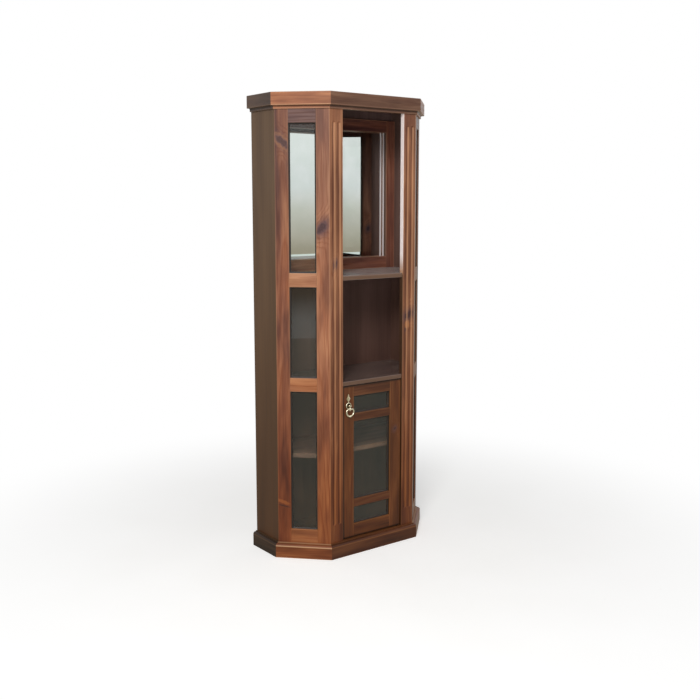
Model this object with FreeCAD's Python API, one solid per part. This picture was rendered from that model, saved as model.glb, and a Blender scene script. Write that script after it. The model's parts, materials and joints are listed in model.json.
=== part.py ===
import FreeCAD, Part
import math
import os

# Tall display cabinet with canted glazed corners, two open compartments and a glazed door below.
# X runs along the front, Y from the front to the back, Z up.
# The origin is on the floor, at the middle of the plan.

Vector = FreeCAD.Vector

# Overall size
width = 740.0
depth = 325.0
height = 1760.0

# Plan of the carcass
overhang = 19.0             # cornice past the carcass
cant = 145.0                # each canted corner, measured along X and along Y
pilaster = 60.0             # width of the two fluted front posts

# Boards
wall = 18.0                 # side panels, canted frames, pilasters and front rails
top_board = 18.0
shelf_board = 18.0
floor_board = 18.0
back_board = 6.0
edge_round = 1.5            # eased front edges of the wood
shelf_round = 4.0           # rounded front edge of the shelves

# Heights above the floor
floor_top = 58.0
inner_shelf_top = 410.0
middle_shelf_top = 686.0
upper_shelf_top = 1090.0
top_rail_show = 50.0        # top rails of the canted frames seen below the cornice

# Shelves
shelf_setback = 3.0         # front edge of the fixed shelves behind the pilasters
inner_setback = 30.0        # front edge of the loose shelf behind the front wall
inner_clearance = 1.0       # loose shelf to the walls round it
shelf_pin_radius = 2.5
shelf_pin_in = 8.0          # length of a shelf pin in the side panel
shelf_pin_out = 10.0        # length of a shelf pin under the shelf
shelf_pin_edge = 20.0       # shelf pins from the side panel's ends

# Canted frames
cant_stile = 51.0
cant_rail = 52.0
cant_bottom_rise = 54.0     # bottom rail above the floor board
upper_rail_rise = 12.0      # rail above the upper shelf
lower_rail_rise = 19.0      # rail above the middle shelf

# Glazing
pane = 4.0
rebate = 8.0
rebate_depth = 10.0
pane_clearance = 1.0

# Flutes of the pilasters
flute_radius = 6.5
flute_depth = 5.0
flute_pitch = 24.0
flute_top_rise = 5.0        # above the lower edge of those top rails
flute_bottom_rise = 68.0    # above the floor board

# Mirror at the back of the upper compartment
mirror_board = 18.0
mirror_stile = 43.0
mirror_rail = 48.0
mirror_glass = 5.0
mirror_edge = 3.0           # glass left at the rim of the bevel
mirror_bevel = 28.0         # width of the bevel

# Plinth
plinth_out = 18.0
plinth_lip_out = 6.0
plinth_lip = 3.0            # height of the small step at the top
plinth_round = 9.0

# Cornice
cornice_height = 59.0
bed_height = 12.0
bed_out = 6.0
bed_cove = 5.0
cornice_round = 2.5

# Door
door_board = 20.0
door_setback = 6.0          # door face behind the pilasters
door_gap = 2.0              # to the pilasters and the shelf above
door_floor_gap = 4.0
door_stile = 54.0
door_top_rail = 42.0
door_middle_rail = 31.0
door_bottom_rail = 52.0
door_small_pane = 68.0      # visible height of the top and bottom panes

# Door pivots and catch
pivot_radius = 3.0
pivot_in = 12.0             # axis from the door's hinge edge
pivot_back = 6.0            # axis behind the door's face
pivot_in_door = 20.0
pivot_in_carcass = 11.0
pivot_end_gap = 1.0         # hole past the end of the pin
running_clearance = 0.05
seat_clearance = 0.02       # pins fixed in the wood
collar_radius = 5.5
collar_gap = 0.3
catch_from_edge = 62.0      # catch from the door's free edge
catch_length = 46.0
catch_height = 12.0
catch_depth = 14.0
catch_gap = 0.4
strike = 1.5
strike_height = 9.0

# Drop pull
pull_below_top = 76.0       # middle of the rosette below the door's top
rosette_radius = 13.0
plate = 2.5
rim_width = 3.0
rim_rise = 2.0
leaf_length = 47.0          # leaf from the middle of the rosette to its tip
leaf_half_width = 9.0
ear_gap = 6.0               # between the two ears
ear_board = 2.0
ear_radius = 3.0
drop_out = 12.0             # pull's axis in front of the door
drop_pin_radius = 1.2
drop_barrel_radius = 2.6
drop_side_gap = 0.4
drop_shank_radius = 1.8
drop_rod_radius = 3.0
lobe_radius = 9.5           # upper rounds of the heart
lobe_out = 7.5              # their middle from the heart's middle
lobe_drop = 21.5            # their middle below the axis
heart_side_radius = 18.5    # lower sides of the heart
heart_overrun_angle = 22.5  # each half of the rod turns past the middle plane and is cut there

overrun = 2.0               # cuts run past the wood by this

# Worked out from the sizes above
cant_angle = 45.0
mitre = math.tan(math.radians(cant_angle / 2))
half_width = width / 2 - overhang
front_half = half_width - cant
back_y = depth / 2
front_y = overhang - depth / 2
inner_half = half_width - wall
inner_back_y = back_y - back_board
carcass_top = height - top_board
cornice_bottom = height - cornice_height
top_rail_bottom = cornice_bottom - top_rail_show
flute_top = top_rail_bottom + flute_top_rise
flute_bottom = floor_top + flute_bottom_rise
middle_shelf_bottom = middle_shelf_top - shelf_board
inner_shelf_bottom = inner_shelf_top - shelf_board
door_bottom = floor_top + door_floor_gap
door_top = middle_shelf_bottom - door_gap
up = Vector(0, 0, 1)
right = Vector(1, 0, 0)
outward = Vector(0, -1, 0)
origin = Vector(0, 0, 0)


def outline(out):
    """Plan corners from the back left round the front to the back right, moved outward by out."""
    side_y = front_y + cant - mitre * out
    left = [
        (-half_width - out, back_y),
        (-half_width - out, side_y),
        (-front_half - mitre * out, front_y - out),
    ]
    corners = left + [(-x, y) for x, y in reversed(left)]
    return [Vector(x, y, 0) for x, y in corners]


class Wall:
    """A straight stretch of the carcass plan: s runs along its face and d goes inward from it."""

    def __init__(self, index):
        corners = outline(0)
        self.index = index
        self.start = corners[index]
        run = corners[index + 1] - self.start
        self.length = run.Length
        self.along = run.normalize()
        self.inward = Vector(-self.along.y, self.along.x, 0)

    def point(self, s, d, z):
        return self.start + self.along * s + self.inward * d + up * z


side_wall, cant_wall, front_wall = Wall(0), Wall(1), Wall(2)


def polygon(points):
    return Part.Face(Part.makePolygon(points + points[:1]))


def box(low, high):
    size = high - low
    return Part.makeBox(size.x, size.y, size.z, low)


def mirrored(shape):
    return shape.mirror(origin, right)


def outline_face(place, corners):
    """Face inside a closed outline of (a, b, radius) corners, where place puts a and b in space."""
    flat = [Vector(a, b, 0) for a, b, radius in corners]
    starts, ends, edges = [], [], []
    for i, (a, b, radius) in enumerate(corners):
        here = flat[i]
        back = (flat[i - 1] - here).normalize()
        ahead = (flat[(i + 1) % len(flat)] - here).normalize()
        half = back.getAngle(ahead) / 2
        starts.append(here + back * (radius / math.tan(half)))
        ends.append(here + ahead * (radius / math.tan(half)))
        if radius > 0:
            centre = here + (back + ahead).normalize() * (radius / math.sin(half))
            middle = centre + (here - centre).normalize() * radius
            arc = [place(p.x, p.y) for p in (starts[i], middle, ends[i])]
            edges.append(Part.Arc(*arc).toShape())
    for i, end in enumerate(ends):
        start = starts[(i + 1) % len(starts)]
        edges.append(Part.LineSegment(place(end.x, end.y), place(start.x, start.y)).toShape())
    return Part.Face(Part.Wire(Part.__sortEdges__(edges)))


def upright(wall_run, plan, bottom, top):
    """Board with a plan of (s, d, radius) corners, standing from bottom to top."""
    face = outline_face(lambda s, d: wall_run.point(s, d, bottom), plan)
    return face.extrude(up * (top - bottom))


def lengthwise(wall_run, section, start, end):
    """Board with a section of (d, z, radius) corners, lying along a wall from start to end."""
    face = outline_face(lambda d, z: wall_run.point(start, d, z), section)
    return face.extrude(wall_run.along * (end - start))


def block(wall_run, s, d, z):
    """Square-edged piece between pairs of values of s, d and z."""
    plan = [(s[0], d[0], 0), (s[1], d[0], 0), (s[1], d[1], 0), (s[0], d[1], 0)]
    return upright(wall_run, plan, z[0], z[1])


class GlazedFrame:
    """Two stiles, rails given as (bottom, top) from the lowest up, and a pane between each two rails."""

    def __init__(self, wall_run, start, end, face, board, stile, rails, slope):
        self.wall, self.start, self.end = wall_run, start, end
        self.face, self.back = face, face + board
        self.stile, self.rails, self.slope = stile, rails, slope
        self.inside = (start + stile, end - stile)
        self.gaps = [(low[1], high[0]) for low, high in zip(rails, rails[1:])]
        self.glass_face = self.back - rebate_depth
        self.bead_face = self.glass_face + pane

    def rebates(self):
        s = (self.inside[0] - rebate, self.inside[1] + rebate)
        d = (self.glass_face, self.back + overrun)
        return Part.Compound([block(self.wall, s, d, (z[0] - rebate, z[1] + rebate)) for z in self.gaps])

    def start_stile(self, bottom, top, outer_round):
        bevel = self.slope * (self.back - self.face)
        plan = [
            (self.start, self.face, outer_round),
            (self.inside[0], self.face, edge_round),
            (self.inside[0], self.back, 0),
            (self.start + bevel, self.back, 0),
        ]
        return upright(self.wall, plan, bottom, top).cut(self.rebates())

    def end_stile(self, bottom, top, outer_round):
        bevel = self.slope * (self.back - self.face)
        plan = [
            (self.inside[1], self.face, edge_round),
            (self.end, self.face, outer_round),
            (self.end - bevel, self.back, 0),
            (self.inside[1], self.back, 0),
        ]
        return upright(self.wall, plan, bottom, top).cut(self.rebates())

    def rail(self, index):
        bottom, top = self.rails[index]
        section = [
            (self.face, bottom, edge_round),
            (self.face, top, edge_round),
            (self.back, top, 0),
            (self.back, bottom, 0),
        ]
        return lengthwise(self.wall, section, *self.inside).cut(self.rebates())

    def glass(self, index):
        lap = rebate - pane_clearance
        bottom, top = self.gaps[index]
        s = (self.inside[0] - lap, self.inside[1] + lap)
        return block(self.wall, s, (self.glass_face, self.bead_face), (bottom - lap, top + lap))

    def beads(self):
        left, end = self.inside
        d = (self.bead_face, self.back)
        strips = []
        for bottom, top in self.gaps:
            for s in ((left - rebate, left), (end, end + rebate)):
                strips.append(block(self.wall, s, d, (bottom - rebate, top + rebate)))
            for z in ((bottom - rebate, bottom), (top, top + rebate)):
                strips.append(block(self.wall, self.inside, d, z))
        return Part.Compound(strips)


def moulding(wall_run, section):
    """Moulding of (out, z, radius) corners along a wall, mitred to its neighbours, square at the back."""
    reach = max(out for out, z, radius in section) + overrun
    inner, outer = outline(0), outline(reach)
    i = wall_run.index
    lap = wall_run.point(-reach, 0, 0) - wall_run.start
    face = outline_face(lambda out, z: wall_run.point(0, -out, z) + lap, section)
    length = face.extrude(wall_run.along * (wall_run.length + 2 * reach))
    wedge = polygon([inner[i], outer[i], outer[i + 1], inner[i + 1]])
    return length.common(wedge.extrude(up * height))


def plinth(wall_run):
    shoulder = floor_top - plinth_lip
    section = [
        (0, 0, 0),
        (plinth_out, 0, 0),
        (plinth_out, shoulder, plinth_round),
        (plinth_lip_out, shoulder, 0),
        (plinth_lip_out, floor_top, 0),
        (0, floor_top, 0),
    ]
    return moulding(wall_run, section)


def cornice(wall_run):
    shoulder = cornice_bottom + bed_height
    section = [
        (0, cornice_bottom, 0),
        (bed_out, cornice_bottom, 0),
        (bed_out, shoulder, bed_cove),
        (overhang, shoulder, edge_round),
        (overhang, height, cornice_round),
        (0, height, 0),
    ]
    return moulding(wall_run, section)


def shelf_pin_places():
    """Middles of the left shelf pins where they leave the side panel."""
    z = inner_shelf_bottom - shelf_pin_radius
    front = front_y + cant + shelf_pin_edge
    return [Vector(-inner_half, y, z) for y in (front, inner_back_y - shelf_pin_edge)]


def shelf_pins(extra):
    """Left shelf pins, with extra radius for the holes that hold them."""
    inset = right * shelf_pin_in
    length = shelf_pin_in + shelf_pin_out
    radius = shelf_pin_radius + extra
    return Part.Compound([Part.makeCylinder(radius, length, p - inset, right) for p in shelf_pin_places()])


def side_panel():
    end = side_wall.length
    plan = [(0, 0, 0), (end, 0, 0), (end - mitre * wall, wall, 0), (0, wall, 0)]
    return upright(side_wall, plan, 0, carcass_top).cut(shelf_pins(seat_clearance))


def flutes():
    """Two round-ended grooves down the middle of the left pilaster."""
    grooves = []
    d = flute_depth - flute_radius
    for s in (pilaster / 2 - flute_pitch / 2, pilaster / 2 + flute_pitch / 2):
        low = front_wall.point(s, d, flute_bottom + flute_radius)
        high = front_wall.point(s, d, flute_top - flute_radius)
        groove = Part.makeCylinder(flute_radius, (high - low).Length, low, up)
        ends = [Part.makeSphere(flute_radius, p) for p in (low, high)]
        grooves.append(groove.multiFuse(ends).removeSplitter())
    return Part.Compound(grooves)


def pilaster_post():
    plan = [(0, 0, 0), (pilaster, 0, edge_round), (pilaster, wall, 0), (mitre * wall, wall, 0)]
    return upright(front_wall, plan, 0, carcass_top).cut(flutes())


def header_rail():
    """Rail between the pilasters behind the cornice, so that the opening reaches up to the cornice."""
    section = [
        (0, cornice_bottom, edge_round),
        (0, carcass_top, 0),
        (wall, carcass_top, 0),
        (wall, cornice_bottom, 0),
    ]
    return lengthwise(front_wall, section, pilaster, front_wall.length - pilaster)


def pivot_point(z):
    return front_wall.point(door.end - pivot_in, door_setback + pivot_back, z)


def pivot_cylinder(radius, bottom, top):
    return Part.makeCylinder(radius, top - bottom, pivot_point(bottom), up)


def bottom_rail():
    s = (pilaster, front_wall.length - pilaster)
    rail = block(front_wall, s, (0, wall), (0, floor_top))
    hole_bottom = floor_top - pivot_in_carcass - pivot_end_gap
    return rail.cut(pivot_cylinder(pivot_radius + seat_clearance, hole_bottom, floor_top + overrun))


def inside_plan(clearance):
    """Plan corners inside the walls and in front of the back panel."""
    corners = outline(-wall - clearance)
    for corner in (corners[0], corners[-1]):
        corner.y = inner_back_y
    return corners


def floor_panel():
    panel = polygon(inside_plan(0)).extrude(up * floor_board)
    panel.translate(up * (floor_top - floor_board))
    return panel


def fixed_shelf(top):
    """Shelf that fills the plan, with a front edge that comes forward between the pilasters."""
    body = polygon(inside_plan(0)).extrude(up * shelf_board)
    body.translate(up * (top - shelf_board))
    section = [
        (shelf_setback, top - shelf_board, shelf_round),
        (shelf_setback, top, shelf_round),
        (wall, top, 0),
        (wall, top - shelf_board, 0),
    ]
    nosing = lengthwise(front_wall, section, pilaster, front_wall.length - pilaster)
    return body.fuse(nosing).removeSplitter()


def middle_shelf():
    hole_top = middle_shelf_bottom + pivot_in_carcass + pivot_end_gap
    hole = pivot_cylinder(pivot_radius + seat_clearance, middle_shelf_bottom - overrun, hole_top)
    return fixed_shelf(middle_shelf_top).cut(hole)


def inner_shelf():
    body = polygon(inside_plan(inner_clearance)).extrude(up * shelf_board)
    front = front_y + wall + inner_setback
    body = body.cut(box(Vector(-width, front - depth, -height), Vector(width, front, height)))
    body.translate(up * inner_shelf_bottom)
    return body


def back_panel():
    return box(Vector(-inner_half, inner_back_y, 0), Vector(inner_half, back_y, carcass_top))


def top_panel():
    panel = polygon(outline(0)).extrude(up * top_board)
    panel.translate(up * carcass_top)
    return panel


def mirror_opening(grow):
    """Half width, bottom and top of the mirror seen in its frame, grown by grow on each side."""
    half = inner_half - mirror_stile + grow
    return half, upper_shelf_top + mirror_rail - grow, top_rail_bottom + grow


def mirror_rebate():
    half, bottom, top = mirror_opening(rebate)
    face = inner_back_y - mirror_glass
    return box(Vector(-half, face, bottom), Vector(half, inner_back_y + overrun, top))


def mirror_frame_piece(low_x, high_x, bottom, top):
    low = Vector(low_x, inner_back_y - mirror_board, bottom)
    return box(low, Vector(high_x, inner_back_y, top)).cut(mirror_rebate())


def mirror_pane():
    """Glass that lies on the back panel, with a ground bevel round its face."""
    half, bottom, top = mirror_opening(rebate - pane_clearance)
    back = inner_back_y
    face = back - mirror_glass

    def rectangle(y, inset):
        low, high, side = bottom + inset, top - inset, half - inset
        corners = [(-side, low), (side, low), (side, high), (-side, high), (-side, low)]
        return Part.makePolygon([Vector(x, y, z) for x, z in corners])

    rim = box(Vector(-half, back - mirror_edge, bottom), Vector(half, back, top))
    crown = Part.makeLoft([rectangle(back - mirror_edge, 0), rectangle(face, mirror_bevel)], True, True)
    return rim.fuse(crown).removeSplitter()


def cant_rails():
    return [
        (0, floor_top + cant_bottom_rise),
        (middle_shelf_top + lower_rail_rise - cant_rail, middle_shelf_top + lower_rail_rise),
        (upper_shelf_top + upper_rail_rise - cant_rail, upper_shelf_top + upper_rail_rise),
        (top_rail_bottom, carcass_top),
    ]


def door_rails():
    low = door_bottom + door_bottom_rail + door_small_pane
    high = door_top - door_top_rail - door_small_pane
    return [
        (door_bottom, door_bottom + door_bottom_rail),
        (low, low + door_middle_rail),
        (high - door_middle_rail, high),
        (door_top - door_top_rail, door_top),
    ]


canted = GlazedFrame(cant_wall, 0, cant_wall.length, 0, wall, cant_stile, cant_rails(), mitre)
door = GlazedFrame(
    front_wall,
    pilaster + door_gap,
    front_wall.length - pilaster - door_gap,
    door_setback,
    door_board,
    door_stile,
    door_rails(),
    0,
)


def hinge_stile():
    stile = door.end_stile(door_bottom, door_top, edge_round)
    depth_in = pivot_in_door + pivot_end_gap
    radius = pivot_radius + running_clearance
    low = pivot_cylinder(radius, door_bottom - overrun, door_bottom + depth_in)
    high = pivot_cylinder(radius, door_top - depth_in, door_top + overrun)
    return stile.cut(Part.Compound([low, high]))


def pivot_pins():
    """Pins that the door turns on; the lower one has a collar that carries the door."""
    high = pivot_cylinder(pivot_radius, door_top - pivot_in_door, middle_shelf_bottom + pivot_in_carcass)
    low = pivot_cylinder(pivot_radius, floor_top - pivot_in_carcass, door_bottom + pivot_in_door)
    collar = pivot_cylinder(collar_radius, floor_top, door_bottom - collar_gap)
    return Part.Compound([low.fuse(collar).removeSplitter(), high])


def magnet_catch():
    s = (door.start + catch_from_edge, door.start + catch_from_edge + catch_length)
    face = door.back + strike + catch_gap
    z = (middle_shelf_bottom - catch_height, middle_shelf_bottom)
    return block(front_wall, s, (face, face + catch_depth), z)


def strike_plate():
    s = (door.start + catch_from_edge, door.start + catch_from_edge + catch_length)
    return block(front_wall, s, (door.back, door.back + strike), (door_top - strike_height, door_top))


def at_pull(shape):
    """Move a piece of the pull from its own origin, the middle of the rosette on the door's face."""
    shape.translate(front_wall.point(door.start + door_stile / 2, door_setback, door_top - pull_below_top))
    return shape


def pull_plate():
    """Rosette with a raised rim and a leaf above it, and two ears with the pin of the drop."""
    disc = Part.makeCylinder(rosette_radius, plate, origin, outward)
    rim = Part.makeCylinder(rosette_radius, plate + rim_rise, origin, outward)
    rim = rim.cut(Part.makeCylinder(rosette_radius - rim_width, plate + rim_rise, origin, outward))
    tip = up * leaf_length
    sides = [tip / 2 + right * leaf_half_width, tip / 2 - right * leaf_half_width]
    leaf_edges = [Part.Arc(origin, side, tip).toShape() for side in sides]
    leaf = Part.Face(Part.Wire(Part.__sortEdges__(leaf_edges))).extrude(outward * plate)
    pieces = [rim, leaf]
    axis = outward * drop_out
    for x in (-ear_gap / 2 - ear_board, ear_gap / 2):
        arm = box(Vector(x, -drop_out, -ear_radius), Vector(x + ear_board, 0, ear_radius))
        nose = Part.makeCylinder(ear_radius, ear_board, axis + right * x, right)
        pieces += [arm, nose]
    span = ear_gap + 2 * ear_board
    pieces.append(Part.makeCylinder(drop_pin_radius, span, axis - right * (span / 2), right))
    return at_pull(disc.multiFuse(pieces).removeSplitter())


def heart_half():
    """Right half of the heart-shaped rod, cut on its middle plane."""
    past = math.radians(heart_overrun_angle)
    y = -drop_out

    def arc(middle_x, radius, first, last):
        turn = [first, (first + last) / 2, last]
        points = [(middle_x + radius * math.cos(a), radius * math.sin(a) - lobe_drop) for a in turn]
        return Part.Arc(*[Vector(x, y, z) for x, z in points]).toShape()

    lobe_start = math.acos(-lobe_out / lobe_radius) + past
    side_x = lobe_out + lobe_radius - heart_side_radius
    side_end = -math.acos(-side_x / heart_side_radius) - past
    path = Part.Wire([arc(lobe_out, lobe_radius, lobe_start, 0), arc(side_x, heart_side_radius, 0, side_end)])
    lobe = path.Edges[0]
    begin = lobe.FirstParameter
    ring = Part.Circle(lobe.valueAt(begin), lobe.tangentAt(begin), drop_rod_radius)
    rod = path.makePipeShell([Part.Wire(ring.toShape())], True, False)
    room = lobe_drop + heart_side_radius + lobe_out
    return rod.common(box(Vector(0, -room, -room), Vector(room, room, room)))


def pull_drop():
    """Heart-shaped drop on a shank, with a barrel that turns on the pin."""
    axis = outward * drop_out
    half_barrel = ear_gap / 2 - drop_side_gap
    barrel_start = axis - right * half_barrel
    barrel = Part.makeCylinder(drop_barrel_radius, 2 * half_barrel, barrel_start, right)
    dip = lobe_drop - math.sqrt(lobe_radius ** 2 - lobe_out ** 2)
    shank = Part.makeCylinder(drop_shank_radius, dip, axis, -up)
    heart = heart_half()
    drop = heart.multiFuse([mirrored(heart), shank, barrel]).removeSplitter()
    bore = Part.makeCylinder(drop_pin_radius + running_clearance, 2 * half_barrel, barrel_start, right)
    return at_pull(drop.cut(bore))


def cant_nodes():
    """Pieces of the left canted corner, named without their side."""
    pieces = {
        "cant_rear_stile": canted.start_stile(0, carcass_top, 0),
        "cant_front_stile": canted.end_stile(0, carcass_top, 0),
        "cant_panes": Part.Compound([canted.glass(i) for i in range(len(canted.gaps))]),
        "cant_beads": canted.beads(),
    }
    for i, name in enumerate(("bottom", "lower", "upper", "top")):
        pieces["cant_" + name + "_rail"] = canted.rail(i)
    return pieces


def left_nodes():
    """Pieces that come once on each side."""
    pieces = cant_nodes()
    pieces["side_panel"] = side_panel()
    pieces["pilaster"] = pilaster_post()
    for name, run in (("side", side_wall), ("cant", cant_wall)):
        pieces["plinth_" + name] = plinth(run)
        pieces["cornice_" + name] = cornice(run)
    half, bottom, top = mirror_opening(0)
    pieces["mirror_stile"] = mirror_frame_piece(-inner_half, -half, upper_shelf_top, top + mirror_rail)
    return pieces


def carcass_nodes():
    half, bottom, top = mirror_opening(0)
    pins = shelf_pins(0)
    return {
        "plinth_front": plinth(front_wall),
        "cornice_front": cornice(front_wall),
        "header_rail": header_rail(),
        "front_bottom_rail": bottom_rail(),
        "top_panel": top_panel(),
        "floor_panel": floor_panel(),
        "back_panel": back_panel(),
        "upper_shelf": fixed_shelf(upper_shelf_top),
        "middle_shelf": middle_shelf(),
        "inner_shelf": inner_shelf(),
        "shelf_pins": Part.Compound(pins.Solids + mirrored(pins).Solids),
        "mirror_top_rail": mirror_frame_piece(-half, half, top, top + mirror_rail),
        "mirror_bottom_rail": mirror_frame_piece(-half, half, upper_shelf_top, bottom),
        "mirror_glass": mirror_pane(),
        "pivot_pins": pivot_pins(),
        "magnet_catch": magnet_catch(),
    }


def door_nodes():
    pieces = {
        "door_lock_stile": door.start_stile(door_bottom, door_top, edge_round),
        "door_hinge_stile": hinge_stile(),
        "door_beads": door.beads(),
        "door_strike": strike_plate(),
        "pull_plate": pull_plate(),
        "pull_drop": pull_drop(),
    }
    for i, name in enumerate(("bottom", "lower", "upper", "top")):
        pieces["door_" + name + "_rail"] = door.rail(i)
    for i, name in enumerate(("bottom", "middle", "top")):
        pieces["door_" + name + "_pane"] = door.glass(i)
    return pieces


def main():
    nodes = carcass_nodes()
    for name, shape in left_nodes().items():
        nodes[name + "_left"] = shape
        nodes[name + "_right"] = mirrored(shape)
    nodes.update(door_nodes())
    os.makedirs("parts", exist_ok=True)
    for name, shape in nodes.items():
        shape.exportStep("parts/" + name + ".step")


main()
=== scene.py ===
import json
import math

import bmesh
import bpy
import numpy as np
from mathutils import Euler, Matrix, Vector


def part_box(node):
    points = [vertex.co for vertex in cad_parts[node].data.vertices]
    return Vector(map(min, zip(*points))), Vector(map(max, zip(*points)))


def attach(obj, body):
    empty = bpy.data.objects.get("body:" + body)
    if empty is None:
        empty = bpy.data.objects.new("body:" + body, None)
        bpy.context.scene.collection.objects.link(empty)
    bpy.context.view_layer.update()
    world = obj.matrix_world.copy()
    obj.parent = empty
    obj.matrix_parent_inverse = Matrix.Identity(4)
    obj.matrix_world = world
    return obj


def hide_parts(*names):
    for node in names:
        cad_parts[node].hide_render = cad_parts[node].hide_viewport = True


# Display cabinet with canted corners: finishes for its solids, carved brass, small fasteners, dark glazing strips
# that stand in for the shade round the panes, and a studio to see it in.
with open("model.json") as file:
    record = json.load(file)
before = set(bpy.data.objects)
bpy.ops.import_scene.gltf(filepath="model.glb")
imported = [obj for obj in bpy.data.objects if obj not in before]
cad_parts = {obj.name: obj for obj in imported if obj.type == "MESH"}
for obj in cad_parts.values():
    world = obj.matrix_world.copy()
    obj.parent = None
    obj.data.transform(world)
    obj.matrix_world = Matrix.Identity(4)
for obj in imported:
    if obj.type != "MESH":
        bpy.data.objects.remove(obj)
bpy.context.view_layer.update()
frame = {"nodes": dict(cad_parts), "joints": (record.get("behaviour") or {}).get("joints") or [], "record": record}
nodes = frame["nodes"]
slots = {part["node"]: part["material_slot"] for part in frame["record"]["subparts"]}
mm = 0.001


def linear(code):
    """Linear colour of an sRGB hex value."""
    c = np.array([int(code[i:i + 2], 16) for i in (1, 3, 5)]) / 255
    c = np.where(c <= 0.04045, c / 12.92, ((c + 0.055) / 1.055) ** 2.4)
    return (*c.tolist(), 1.0)


WHITE = linear("#ffffff")
# Settings of nodes that come up often. A Mix of colours has its share at 0, its colours at 6 and 7.
BLEND = {"data_type": "RGBA"}
MULTIPLY = {"data_type": "RGBA", "blend_type": "MULTIPLY"}
SMOOTH = {"interpolation_type": "SMOOTHSTEP"}


def add(tree, kind, inputs, out=None, stops=(), **settings):
    """Adds a node with settings, inputs (values or outputs to link) and ramp stops, and gives one
    output: the one named by out, or else the first in use."""
    node = tree.nodes.new("ShaderNode" + kind)
    for key, value in settings.items():
        setattr(node, key, value)
    for key, value in inputs.items():
        if isinstance(value, bpy.types.NodeSocket):
            tree.links.new(value, node.inputs[key])
        else:
            node.inputs[key].default_value = value
    if stops:
        node.color_ramp.elements.remove(node.color_ramp.elements[1])
    for i, (at, code) in enumerate(stops):
        stop = node.color_ramp.elements.new(at) if i else node.color_ramp.elements[0]
        stop.position, stop.color = at, linear(code)
    if out is not None:
        return node.outputs[out]
    return next((o for o in node.outputs if o.enabled), None)


def blank(name):
    """An empty material, its node tree, and in that the Object coordinates."""
    made = bpy.data.materials.new(name)
    made.use_nodes = True
    made.node_tree.nodes.clear()
    return made, made.node_tree, add(made.node_tree, "TexCoord", {}, "Object")


# Wood. Each board has its own frame: x across the grain on its face, y into the cabinet, z along
# the grain.
UPRIGHT = ("stile", "pilaster", "side_panel", "back_panel", "beads")
LYING = ("shelf", "floor_panel", "top_panel")


def board_turn(name):
    """Turn of a board's frame, from how the board runs in the cabinet."""
    side = -1 if name.endswith("_left") else 1
    plan = 0.0
    if name.startswith("cant") or "_cant_" in name:
        plan = side * math.pi / 4
    elif "side" in name:
        plan = side * math.pi / 2
    if any(word in name for word in UPRIGHT):
        return (0, 0, plan)
    if any(word in name for word in LYING):
        return (math.pi / 2, 0, math.pi / 2)
    return (0, math.pi / 2, plan)


def extent(name, turn):
    """Lowest and highest corner of a node's mesh in metres, in a frame turned as given."""
    mesh = nodes[name].data
    points = np.empty(3 * len(mesh.vertices), np.float32)
    mesh.vertices.foreach_get("co", points)
    own = points.reshape(-1, 3) @ turn
    return np.array([own.min(0), own.max(0)])


def board_axes(tree, board, where):
    """Coordinates in the board's own frame from its middle, and half its size in that frame."""
    turn = np.array(Euler(board_turn(board)).to_matrix())
    low, high = extent(board, turn)
    spot = {"Vector": where, "Location": turn @ (low + high) / 2, "Rotation": board_turn(board)}
    return add(tree, "Mapping", spot, vector_type="TEXTURE"), (high - low) / 2


# Knots of a board: across and along its face from its middle, half width and half length in mm,
# and turn in degrees.
KNOTS = {
    "cant_rear_stile_left": [(3, 712, 13, 40, -48), (-4, -667, 1.6, 26, -74)],
    "cant_front_stile_left": [(-2, 397, 14, 27, 34)],
    "cant_rear_stile_right": [(6, 380, 8, 13, 20), (-9, -240, 6, 9, 0)],
    "cant_front_stile_right": [(-5, 120, 10, 15, -25)],
    "pilaster_left": [(-2, 263, 5, 14, 12)],
    "pilaster_right": [(4, 52, 30, 15, -22), (-15, -8, 4, 10, 10)],
    "door_hinge_stile": [(-3, 99, 6, 10, 40)],
    "upper_shelf": [(-60, 190, 9, 15, 0)],
    "middle_shelf": [(-20, 160, 9, 14, 0)],
    "inner_shelf": [(10, -60, 8, 12, 0)],
}
# Pale spikes of young wood, in the same terms. One that a knot lies over shows as its pale rim.
SPIKES = {
    "cant_rear_stile_left": [(3, 712, 23, 52, -48), (-8, -650, 7.5, 32, -68)],
    "pilaster_right": [(-4, 14, 14, 18, 35)],
    "cant_front_stile_right": [(-5, 120, 13, 20, -25)],
}
# Stains: the dark, middle and light of a board's patchy colour, what shows where the varnish is rubbed and where a
# highlight is painted, and the tint of the painted shade that darkens it towards the foot.
STAINS = {
    "chestnut": ("#6a4335", "#8d5b42", "#a6704f", "#bd8a66", "#ccab8c"),
    "copper": ("#7d503b", "#a06b4e", "#b5815f", "#c8966f", "#d0b18c"),
    "honey": ("#7a4f38", "#946448", "#a87858", "#c9986f", "#c4a684"),
    "amber": ("#8a5637", "#a66d49", "#ba825b", "#d3a582", "#d6bb9a"),
    "cedar": ("#7c4e33", "#976344", "#aa7755", "#fbe9da", "#d6bb9a"),
    "ginger": ("#99694a", "#b07d5c", "#c18f6d", "#d3a582", "#dcc3a4"),
    "plum": ("#65483e", "#71534a", "#7d5d52", "#987260", "#ffffff"),
    "hazel": ("#604333", "#715240", "#81604b", "#94705a", "#ffffff"),
    "walnut": ("#57331b", "#6c4326", "#7f5232", "#9b7048", "#e8d4b8"),
    "russet": ("#492b1b", "#5a3722", "#6b462e", "#8a6244", "#ecd6bc"),
    "umber": ("#3d2d22", "#4c392b", "#5a4434", "#6e5440", "#ffffff"),
    "soot": ("#2c2017", "#38291c", "#443224", "#5c4633", "#ffffff"),
    "smoke": ("#53423d", "#64534d", "#74625c", "#80604b", "#ffffff"),
    "loam": ("#533830", "#64483e", "#74554a", "#7a5340", "#ffffff"),
    "ash": ("#65544c", "#7a675e", "#8c796e", "#9a7c66", "#ffffff"),
    "sable": ("#5e3b35", "#7e5142", "#94634f", "#b08468", "#ffffff"),
}
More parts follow.
